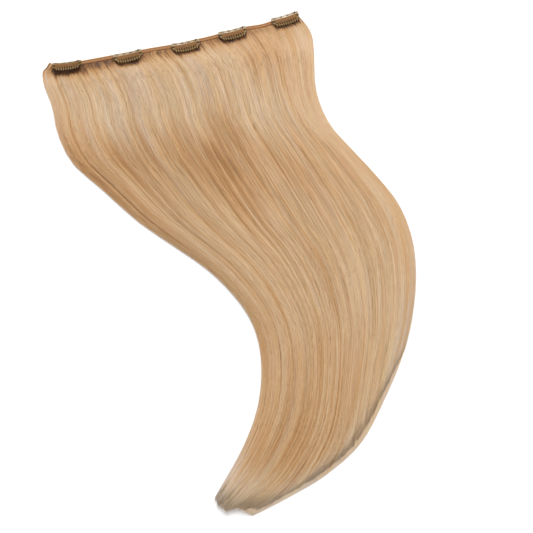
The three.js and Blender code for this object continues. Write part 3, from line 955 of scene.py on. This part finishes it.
def ear(shape, side):
    """A hook round one rivet, joined to the comb's plate by a neck."""
    bore = RIVET_SHANK + RUNNING_GAP
    middle = Vector((side * RIVET_X, RIVET_Y, EAR_INSET))
    before = set(shape.faces)
    line = [shape.verts.new(middle + Vector((-out, 0, 0))) for out in (bore, EAR_RADIUS)]
    edge = shape.edges.new(line)
    turned = bmesh.ops.spin(shape, geom=[*line, edge], cent=middle, axis=(0, 0, 1), dvec=(0, 0, 0),
                            angle=math.pi, steps=16, use_merge=False, use_duplicate=False)
    last = next(item for item in turned["geom_last"] if isinstance(item, bmesh.types.BMEdge))
    for end in (edge, last):
        drawn_row(shape, [end], (0, COMB_BACK - RIVET_Y, 0))
    hook = [face for face in shape.faces if face not in before]
    raised = bmesh.ops.extrude_face_region(shape, geom=hook)["geom"]
    verts = [item for item in raised if isinstance(item, bmesh.types.BMVert)]
    bmesh.ops.translate(shape, verts=verts, vec=(0, 0, SHEET - 2 * EAR_INSET))
    neck = bmesh.ops.create_cube(shape, size=1.0)["verts"]
    inner, outer = COMB_HALF - SHEET, RIVET_X - bore
    bmesh.ops.scale(shape, verts=neck, vec=(outer - inner, COMB_SPINE / 2, SHEET - EAR_INSET))
    spot = (side * (inner + outer) / 2, COMB_BACK - COMB_SPINE / 4, SHEET / 2)
    bmesh.ops.translate(shape, verts=neck, vec=spot)


def tooth_edges(k):
    pitch = (2 * COMB_HALF + TOOTH_GAP) / TOOTH_COUNT
    left = -COMB_HALF + k * pitch
    return left, left + pitch - TOOTH_GAP


def clip_comb():
    """The upper half of a clip: a dished plate with ten teeth and two hooked ears."""
    shape = bmesh.new()
    ends = [tooth_edges(k) for k in range(TOOTH_COUNT)]
    row = [shape.verts.new((x, COMB_BACK, 0)) for pair in ends for x in pair]
    edges = [shape.edges.new(pair) for pair in zip(row, row[1:])]
    for _ in range(6):
        edges = drawn_row(shape, edges, (0, -COMB_SPINE / 6, 0))
    for vertex in shape.verts:
        share = (COMB_BACK - vertex.co.y) / COMB_SPINE
        vertex.co.z = -DISH * math.sin(math.pi * share)
    for left, right in ends:
        root = [edge for edge in edges if edge.is_valid
                and left < (edge.verts[0].co.x + edge.verts[1].co.x) / 2 < right]
        tooth(shape, root, left, right)
    thicken(shape, SHEET)
    soften(shape, SOFT_EDGE)
    ear(shape, -1)
    ear(shape, 1)
    for vertex in shape.verts:
        vertex.co.z += EAR_BOTTOM + bow_at(vertex.co.x)
    return shape


def dull_shaded_frame(place):
    """The frame is dull towards its front bar, and painted darker there as shade."""
    return 0.0, float(smoothstep(-place.y, 0.4 * FRAME_DEPTH, 0.8 * FRAME_DEPTH))


def worn_comb(place):
    """The comb is bare metal at the tips of its teeth and a little dull all over."""
    front = -front_edge(place.x) if abs(place.x) < COMB_HALF else FRAME_DEPTH
    return float(smoothstep(-place.y, front - 0.3 * MM, front + 0.8 * MM)), 0.3


def finished(shape, name, wear_shade_at):
    """A mesh from a closed shape: sharp where it is, and with its wear, dullness and painted shade written
    on it.
    """
    bmesh.ops.recalc_face_normals(shape, faces=shape.faces)
    wear_shade = shape.loops.layers.float_vector["wear_shade"]
    for face in shape.faces:
        face.smooth = True
        for loop in face.loops:
            worn, dull_shade = wear_shade_at(loop.vert.co)
            loop[wear_shade] = (max(loop[wear_shade].x, worn), dull_shade, 0.0)
    for edge in shape.edges:
        edge.smooth = not edge.is_manifold or edge.calc_face_angle() < math.radians(50)
    mesh = bpy.data.meshes.new(name)
    shape.to_mesh(mesh)
    shape.free()
    return mesh


def snap_clips(frame_finish, comb_finish):
    patterns = {"frame": finished(clip_frame(), "frame_pattern", dull_shaded_frame),
                "comb": finished(clip_comb(), "comb_pattern", worn_comb)}
    finishes = {"frame": frame_finish, "comb": comb_finish}
    for number, row in enumerate(CLIPS, 1):
        for half, pattern in patterns.items():
            mesh = pattern.copy()
            mesh.name = f"snap_{half}_{number}"
            mesh.transform(clip_place(row))
            body = "root" if half == "frame" else f"comb_{number}"
            piece = link(mesh.name, mesh, finishes[half], body)
            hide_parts(f"clip_{number}_{half}")


def loop_round_bar(row, at_slot, at_back):
    """One turn of thread: out of a slot, over the back bar and down into the band."""
    around = np.array([(-1.4, -1.7), (-1.4, 0.0), (-1.35, 0.62), (-1.0, 0.84), (-0.4, 0.84),
                       (0.08, 0.72), (0.26, 0.35), (0.24, -0.2), (0.05, -0.9), (-0.3, -1.6)]) * MM
    across = lerp(at_slot, at_back, np.linspace(0, 1, len(around)))
    points = np.stack([across, around[:, 0], around[:, 1] + bow_at(across), np.ones(len(around))])
    path = (np.array(clip_place(row)) @ points)[:3].T
    path[:, 2] = np.maximum(path[:, 2], BAND_THICKNESS / 2)
    return path


def sewing_loops(finish):
    """Turns of thread that hold each clip to the band through its slots."""
    draw = np.random.default_rng(51)
    pitch = (CLIP_LENGTH - END_LOBE) / SLOT_COUNT
    paths = []
    for row in CLIPS:
        for slot in range(SLOT_COUNT):
            for turn in range(LOOPS_A_SLOT):
                x = (slot - (SLOT_COUNT - 1) / 2) * pitch + (turn - (LOOPS_A_SLOT - 1) / 2) * 0.58 * MM
                slant = draw.normal(0, 0.2 * MM)
                paths.append(loop_round_bar(row, x - slant, x + slant))
    paths = np.array(paths)
    radii = np.full(paths.shape[:2], LOOP_RADIUS)
    mesh = tubes("clip_threads", paths, radii, np.zeros(paths.shape[:2]), 6)
    link("clip_threads", mesh, finish)


def end_knots(finish):
    """Where each clip's thread starts and is tied off, round the outer ends of its back bar."""
    end = (SLOT_COUNT - 1) / 2 * (CLIP_LENGTH - END_LOBE) / SLOT_COUNT + SLOT_LENGTH / 2
    paths = []
    for row in CLIPS:
        for side, turns in ((-1, 1), (1, KNOT_TURNS)):
            for turn in range(turns):
                x = side * (end - 2 * KNOT_RADIUS * turn)
                paths.append(loop_round_bar(row, x, x + side * KNOT_SLANT))
    paths = np.array(paths)
    radii = np.full(paths.shape[:2], KNOT_RADIUS)
    mesh = tubes("clip_knots", paths, radii, np.zeros(paths.shape[:2]), 8)
    link("clip_knots", mesh, finish)


# Materials

def srgb(red, green, blue):
    """A colour from its values of 0 to 255 as a screen shows it."""
    def linear(value):
        value /= 255
        return value / 12.92 if value <= 0.04045 else ((value + 0.055) / 1.055) ** 2.4
    return (linear(red), linear(green), linear(blue), 1.0)


# The darkest hair tone: dark roots, and the painted shade in front of the clips.
ROOT_AND_SHADE_BROWN = srgb(84, 50, 26)
DEEP_BLOND = srgb(164, 116, 64)
GOLDEN_BLOND = srgb(198, 152, 99)
MID_BLOND = srgb(212, 178, 134)
LIGHT_BLOND = srgb(224, 200, 164)
# Grey-lavender ash, which also paints the hair's sheen and the grey of its thin tip.
ASH_AND_SHEEN_BLOND = srgb(212, 194, 180)
ORANGE_BLOND = srgb(192, 134, 76)


def add_node(tree, kind, **settings):
    node = tree.nodes.new(kind)
    for name, value in settings.items():
        setattr(node, name, value)
    return node


def feed(tree, socket, value):
    """Links a socket or sets its own value."""
    if isinstance(value, bpy.types.NodeSocket):
        tree.links.new(value, socket)
    else:
        socket.default_value = value


def maths(tree, operation, *values, clamp=False):
    node = add_node(tree, "ShaderNodeMath", operation=operation, use_clamp=clamp)
    for socket, value in zip(node.inputs, values):
        feed(tree, socket, value)
    return node.outputs[0]


def mixed(tree, share, first, second, blend="MIX"):
    node = add_node(tree, "ShaderNodeMix", data_type="RGBA", blend_type=blend)
    feed(tree, node.inputs[0], share)
    feed(tree, node.inputs[6], first)
    feed(tree, node.inputs[7], second)
    return node.outputs[2]


def noise(tree, place, scale=1.0, detail=2.0, roughness=0.5):
    node = add_node(tree, "ShaderNodeTexNoise")
    feed(tree, node.inputs["Vector"], place)
    node.inputs["Scale"].default_value = scale
    node.inputs["Detail"].default_value = detail
    node.inputs["Roughness"].default_value = roughness
    return node.outputs["Fac"]


def ranged(tree, value, low, high, to_low=0.0, to_high=1.0):
    node = add_node(tree, "ShaderNodeMapRange")
    for socket, number in zip(node.inputs, (value, low, high, to_low, to_high)):
        feed(tree, socket, number)
    return node.outputs[0]


def ramp(tree, value, stops):
    node = add_node(tree, "ShaderNodeValToRGB")
    elements = node.color_ramp.elements
    while len(elements) < len(stops):
        elements.new(0.5)
    for element, (place, colour) in zip(elements, stops):
        element.position = place
        element.color = colour
    feed(tree, node.inputs[0], value)
    return node.outputs[0]


def new_group(name, inputs, outputs):
    """An empty node group with named sockets; returns it with its two end nodes."""
    tree = bpy.data.node_groups.new(name, "ShaderNodeTree")
    for label, kind in inputs:
        tree.interface.new_socket(label, in_out="INPUT", socket_type=kind)
    for label, kind in outputs:
        tree.interface.new_socket(label, in_out="OUTPUT", socket_type=kind)
    return tree, tree.nodes.new("NodeGroupInput"), tree.nodes.new("NodeGroupOutput")


def new_material(name):
    material = bpy.data.materials.new(name)
    material.use_nodes = True
    return material, material.node_tree, material.node_tree.nodes["Principled BSDF"]


def hair_tone_group():
    """Colour and gloss of blond hair from its flow (across, along, tone) and zone (light, gold, ash)."""
    tree, given, result = new_group(
        "blond_hair",
        [("Flow", "NodeSocketVector"), ("Zone", "NodeSocketVector")],
        [("Color", "NodeSocketColor"), ("Gloss", "NodeSocketFloat")])
    flow = add_node(tree, "ShaderNodeSeparateXYZ")
    zone = add_node(tree, "ShaderNodeSeparateXYZ")
    feed(tree, flow.inputs[0], given.outputs["Flow"])
    feed(tree, zone.inputs[0], given.outputs["Zone"])
    across, along, tone = flow.outputs
    light, gold, ash = zone.outputs

    def drawn_out(across_scale, along_scale, offset):
        place = add_node(tree, "ShaderNodeCombineXYZ")
        feed(tree, place.inputs[0], maths(tree, "MULTIPLY", across, across_scale))
        feed(tree, place.inputs[1], maths(tree, "MULTIPLY", along, along_scale))
        place.inputs[2].default_value = offset
        return place.outputs[0]

    fine = noise(tree, drawn_out(280.0, 9.0, 0.0), detail=3.0, roughness=0.6)
    streak = noise(tree, drawn_out(110.0, 5.0, 4.0), detail=2.0)
    broad = noise(tree, drawn_out(22.0, 4.0, 9.0), detail=1.0)
    warm = noise(tree, drawn_out(46.0, 6.0, 14.0), detail=2.0)
    cool = noise(tree, drawn_out(34.0, 5.0, 21.0), detail=2.0)

    parts = [(fine, 0.48), (streak, 0.42), (broad, 0.3), (tone, 0.5)]
    lift = maths(tree, "SUBTRACT", light, 0.5)
    for value, strength in parts:
        centred = maths(tree, "MULTIPLY", maths(tree, "SUBTRACT", value, 0.5), strength)
        lift = maths(tree, "ADD", lift, centred)
    level = maths(tree, "ADD", lift, 0.5, clamp=True)
    stops = [(0.0, ROOT_AND_SHADE_BROWN), (0.16, DEEP_BLOND), (0.38, GOLDEN_BLOND), (0.64, MID_BLOND),
             (1.0, LIGHT_BLOND)]
    colour = ramp(tree, level, stops)
    warmth = maths(tree, "MULTIPLY", gold, ranged(tree, warm, 0.42, 0.72))
    colour = mixed(tree, maths(tree, "MULTIPLY", warmth, 0.75, clamp=True), colour, ORANGE_BLOND)
    # The ash colour partly paints the hair's sheen, so it shows only where the hair is light.
    ash_and_sheen = maths(tree, "MULTIPLY", ash, ranged(tree, cool, 0.35, 0.65))
    ash_and_sheen = maths(tree, "MULTIPLY", ash_and_sheen, ranged(tree, level, 0.2, 0.7))
    colour = mixed(tree, maths(tree, "MULTIPLY", ash_and_sheen, 0.85, clamp=True), colour, ASH_AND_SHEEN_BLOND)
    feed(tree, result.inputs["Color"], colour)
    feed(tree, result.inputs["Gloss"], ranged(tree, streak, 0.3, 0.7, 0.34, 0.48))
    return tree


def hair_finish(name, group, roughness_added, bump):
    material, tree, shader = new_material(name)
    tones = add_node(tree, "ShaderNodeGroup", node_tree=group)
    for label in ("flow", "zone"):
        read = add_node(tree, "ShaderNodeAttribute", attribute_name=label)
        feed(tree, tones.inputs[label.capitalize()], read.outputs["Vector"])
    feed(tree, shader.inputs["Base Color"], tones.outputs["Color"])
    feed(tree, shader.inputs["Roughness"], maths(tree, "ADD", tones.outputs["Gloss"], roughness_added))
    shader.inputs["Specular IOR Level"].default_value = 0.45
    if bump:
        read = add_node(tree, "ShaderNodeAttribute", attribute_name="flow")
        stretch = add_node(tree, "ShaderNodeMapping")
        stretch.inputs["Scale"].default_value = (420.0, 6.0, 0.0)
        feed(tree, stretch.inputs["Vector"], read.outputs["Vector"])
        raised = add_node(tree, "ShaderNodeBump")
        raised.inputs["Strength"].default_value = bump
        raised.inputs["Distance"].default_value = 0.3 * MM
        feed(tree, raised.inputs["Height"], noise(tree, stretch.outputs[0], detail=3.0))
        feed(tree, shader.inputs["Normal"], raised.outputs[0])
    return material


def plain_finish(name, colour, roughness):
    material, _, shader = new_material(name)
    shader.inputs["Base Color"].default_value = colour
    shader.inputs["Roughness"].default_value = roughness
    return material


def fibre_group():
    """Fine uneven fibres along one axis of a place: a tint and a height."""
    tree, given, result = new_group(
        "fine_fibres",
        [("Place", "NodeSocketVector"), ("Dark", "NodeSocketColor"), ("Pale", "NodeSocketColor")],
        [("Color", "NodeSocketColor"), ("Height", "NodeSocketFloat")])
    close = noise(tree, given.outputs["Place"], 1.0, 4.0, 0.65)
    wide = noise(tree, given.outputs["Place"], 0.31, 2.0)
    blend = maths(tree, "ADD", maths(tree, "MULTIPLY", close, 0.6), maths(tree, "MULTIPLY", wide, 0.4))
    share = ranged(tree, blend, 0.32, 0.68)
    colour = mixed(tree, share, given.outputs["Dark"], given.outputs["Pale"])
    feed(tree, result.inputs["Color"], colour)
    feed(tree, result.inputs["Height"], close)
    return tree


BAND_TAN_HIGHLIGHT = srgb(216, 170, 118)
BAND_BROWN = srgb(186, 134, 80)
BAND_SHADOW = srgb(136, 86, 48)


def band_finish(fibres):
    """Bonded hair on the weft: a rolled edge painted pale as its highlight over a browner flat, with
    painted shade in the groove behind the roll, along the edge by the hair and between the wraps.
    """
    material, tree, shader = new_material("band_hair")
    read = add_node(tree, "ShaderNodeAttribute", attribute_name="wraps")
    parts = add_node(tree, "ShaderNodeSeparateXYZ")
    feed(tree, parts.inputs[0], read.outputs["Vector"])
    across, ridge = parts.outputs[1:]
    rows = [(0.0, BAND_BROWN), (0.06, BAND_TAN_HIGHLIGHT), (0.24, BAND_TAN_HIGHLIGHT), (0.36, BAND_SHADOW), (0.46, BAND_BROWN),
            (0.8, BAND_BROWN), (0.97, BAND_SHADOW)]
    colour = ramp(tree, across, rows)
    stretch = add_node(tree, "ShaderNodeMapping")
    stretch.inputs["Scale"].default_value = (4.0, 5.0, 0.0)
    feed(tree, stretch.inputs["Vector"], read.outputs["Vector"])
    strands = add_node(tree, "ShaderNodeGroup", node_tree=fibres)
    feed(tree, strands.inputs["Place"], stretch.outputs[0])
    strands.inputs["Dark"].default_value = (0.5, 0.42, 0.34, 1.0)
    strands.inputs["Pale"].default_value = (1.0, 1.0, 1.0, 1.0)
    colour = mixed(tree, 0.8, colour, strands.outputs["Color"], "MULTIPLY")
    groove = ranged(tree, ridge, 0.15, 0.6, 0.75, 0.0)
    colour = mixed(tree, groove, colour, BAND_SHADOW)
    feed(tree, shader.inputs["Base Color"], colour)
    feed(tree, shader.inputs["Roughness"], ranged(tree, ridge, 0.2, 1.0, 0.85, 0.55))
    raised = add_node(tree, "ShaderNodeBump")
    raised.inputs["Strength"].default_value = 0.5
    raised.inputs["Distance"].default_value = 0.12 * MM
    feed(tree, raised.inputs["Height"], strands.outputs["Height"])
    feed(tree, shader.inputs["Normal"], raised.outputs[0])
    return material


def thread_finish(name, dark, pale, fibres):
    material, tree, shader = new_material(name)
    place = add_node(tree, "ShaderNodeTexCoord")
    stretch = add_node(tree, "ShaderNodeMapping")
    stretch.inputs["Scale"].default_value = (2600.0, 2600.0, 2600.0)
    feed(tree, stretch.inputs["Vector"], place.outputs["Object"])
    strands = add_node(tree, "ShaderNodeGroup", node_tree=fibres)
    feed(tree, strands.inputs["Place"], stretch.outputs[0])
    strands.inputs["Dark"].default_value = dark
    strands.inputs["Pale"].default_value = pale
    feed(tree, shader.inputs["Base Color"], strands.outputs["Color"])
    shader.inputs["Roughness"].default_value = 0.75
    raised = add_node(tree, "ShaderNodeBump")
    raised.inputs["Strength"].default_value = 0.4
    raised.inputs["Distance"].default_value = 0.05 * MM
    feed(tree, raised.inputs["Height"], strands.outputs["Height"])
    feed(tree, shader.inputs["Normal"], raised.outputs[0])
    return material


def worn_paint_group():
    """Baked enamel on sheet steel from its wear and dullness (worn, dull and painted shade): mottled,
    darker and without gloss where dull or painted as shaded, and bare where it is worn.
    """
    tree, given, result = new_group(
        "worn_enamel",
        [("Place", "NodeSocketVector"), ("Age", "NodeSocketVector"), ("Paint", "NodeSocketColor"),
         ("Shade", "NodeSocketColor"), ("Rim", "NodeSocketColor")],
        [("Color", "NodeSocketColor"), ("Roughness", "NodeSocketFloat"), ("Metallic", "NodeSocketFloat"),
         ("Gloss", "NodeSocketFloat"), ("Height", "NodeSocketFloat")])
    place = given.outputs["Place"]
    wear_shade = add_node(tree, "ShaderNodeSeparateXYZ")
    feed(tree, wear_shade.inputs[0], given.outputs["Age"])
    worn, dull_shade = wear_shade.outputs[:2]
    mottle = noise(tree, place, 900.0, 3.0, 0.6)
    grain = noise(tree, place, 5200.0, 2.0)
    chips = noise(tree, place, 2100.0, 3.0, 0.7)
    spotted = ranged(tree, mottle, 0.4, 0.62, 0.0, 0.6)
    # The darker tone takes the mottle and the dull places; at the frame's front bar that is painted shade.
    shade = maths(tree, "ADD", spotted, maths(tree, "MULTIPLY", dull_shade, 0.8), clamp=True)
    colour = mixed(tree, shade, given.outputs["Paint"], given.outputs["Shade"])
    bare = maths(tree, "MULTIPLY", worn, ranged(tree, chips, 0.34, 0.6), clamp=True)
    colour = mixed(tree, bare, colour, given.outputs["Rim"])
    feed(tree, result.inputs["Color"], colour)
    smooth = ranged(tree, grain, 0.3, 0.7, 0.46, 0.6)
    polished = maths(tree, "MULTIPLY", bare, 0.06)
    feed(tree, result.inputs["Roughness"], maths(tree, "SUBTRACT", smooth, polished))
    feed(tree, result.inputs["Metallic"], maths(tree, "ADD", maths(tree, "MULTIPLY", bare, 0.5), 0.2))
    feed(tree, result.inputs["Gloss"], maths(tree, "SUBTRACT", 1.0, dull_shade, clamp=True))
    feed(tree, result.inputs["Height"], grain)
    return tree


def clip_finish(name, group, paint, shade, rim, glossy):
    """Old enamel in two tones, the darker one also painted as shade towards the frame's front, with bare
    metal at its worn rims.
    """
    material, tree, shader = new_material(name)
    place = add_node(tree, "ShaderNodeTexCoord")
    wear_shade = add_node(tree, "ShaderNodeAttribute", attribute_name="wear_shade")
    enamel = add_node(tree, "ShaderNodeGroup", node_tree=group)
    feed(tree, enamel.inputs["Place"], place.outputs["Object"])
    feed(tree, enamel.inputs["Age"], wear_shade.outputs["Vector"])
    for label, colour in (("Paint", paint), ("Shade", shade), ("Rim", rim)):
        enamel.inputs[label].default_value = colour
    feed(tree, shader.inputs["Base Color"], enamel.outputs["Color"])
    feed(tree, shader.inputs["Roughness"], enamel.outputs["Roughness"])
    feed(tree, shader.inputs["Metallic"], enamel.outputs["Metallic"])
    if glossy:
        feed(tree, shader.inputs["Coat Weight"], enamel.outputs["Gloss"])
    shader.inputs["Coat Roughness"].default_value = 0.22
    shader.inputs["Coat IOR"].default_value = 1.65
    shader.inputs["Specular IOR Level"].default_value = 0.25
    raised = add_node(tree, "ShaderNodeBump")
    raised.inputs["Strength"].default_value = 0.2
    raised.inputs["Distance"].default_value = 0.02 * MM
    feed(tree, raised.inputs["Height"], enamel.outputs["Height"])
    feed(tree, shader.inputs["Normal"], raised.outputs[0])
    return material


# Setting

def floor():
    shape = bmesh.new()
    bmesh.ops.create_grid(shape, x_segments=1, y_segments=1, size=4.0)
    mesh = bpy.data.meshes.new("floor")
    shape.to_mesh(mesh)
    shape.free()
    mesh.materials.append(plain_finish("floor_white", srgb(252, 252, 253), 0.9))
    piece = bpy.data.objects.new("floor", mesh)
    bpy.context.scene.collection.objects.link(piece)


# The broad light, and a small one that shines on the clips
Light = namedtuple("Light", "name place width height power")
LIGHTS = [
    Light("key", (0.35, 1.2, 1.7), 2.2, 2.2, 27.0),
    Light("glint", (0.34, 1.05, 1.42), 0.32, 0.5, 4.8),
]
SKY_STRENGTH = 0.72


def soft_light(name, place, width, height, power):
    lamp = bpy.data.lights.new(name, "AREA")
    lamp.shape = "ELLIPSE"
    lamp.size = width
    lamp.size_y = height
    lamp.energy = power
    holder = bpy.data.objects.new(name, lamp)
    holder.location = place
    holder.rotation_euler = (-Vector(place)).to_track_quat("-Z", "Y").to_euler()
    bpy.context.scene.collection.objects.link(holder)


def studio():
    floor()
    world = bpy.data.worlds.new("studio")
    world.use_nodes = True
    world.node_tree.nodes["Background"].inputs["Color"].default_value = (1.0, 1.0, 1.0, 1.0)
    world.node_tree.nodes["Background"].inputs["Strength"].default_value = SKY_STRENGTH
    bpy.context.scene.world = world
    for row in LIGHTS:
        soft_light(*row)
    bpy.context.scene.view_settings.view_transform = "Standard"


def camera():
    lens = bpy.data.cameras.new("camera")
    lens.lens = LENS
    lens.sensor_width = SENSOR
    back = Vector((math.sin(CAMERA_AZIMUTH) * math.cos(CAMERA_ELEVATION),
                   -math.cos(CAMERA_AZIMUTH) * math.cos(CAMERA_ELEVATION),
                   math.sin(CAMERA_ELEVATION)))
    holder = bpy.data.objects.new("camera", lens)
    holder.location = CAMERA_TARGET + back * CAMERA_DISTANCE
    holder.rotation_mode = "QUATERNION"
    holder.rotation_quaternion = (-back).to_track_quat("-Z", "Y")
    bpy.context.scene.collection.objects.link(holder)
    bpy.context.scene.camera = holder


camera()
studio()
blond = hair_tone_group()
strand_finish = hair_finish("blond_strands", blond, 0.0, 0.0)
hair_body(hair_finish("blond_mass", blond, 0.1, 0.5))
for layer_number, layer in enumerate(LAYERS, 1):
    strand_layer(layer_number, layer, strand_finish)

fibres = fibre_group()
weft_band(band_finish(fibres))
stitch_rows(thread_finish("stitch_thread", srgb(150, 98, 58), srgb(212, 164, 116), fibres))
enamel = worn_paint_group()
olive = (srgb(140, 114, 58), srgb(100, 74, 30), srgb(164, 146, 96))
brown = (srgb(134, 92, 40), srgb(94, 58, 22), srgb(176, 160, 124))
snap_clips(clip_finish("frame_enamel", enamel, *olive, glossy=True),
           clip_finish("comb_enamel", enamel, *brown, glossy=False))
sewing_loops(thread_finish("clip_thread", srgb(140, 108, 68), srgb(196, 164, 120), fibres))
end_knots(thread_finish("knot_thread", srgb(34, 20, 12), srgb(78, 50, 30), fibres))
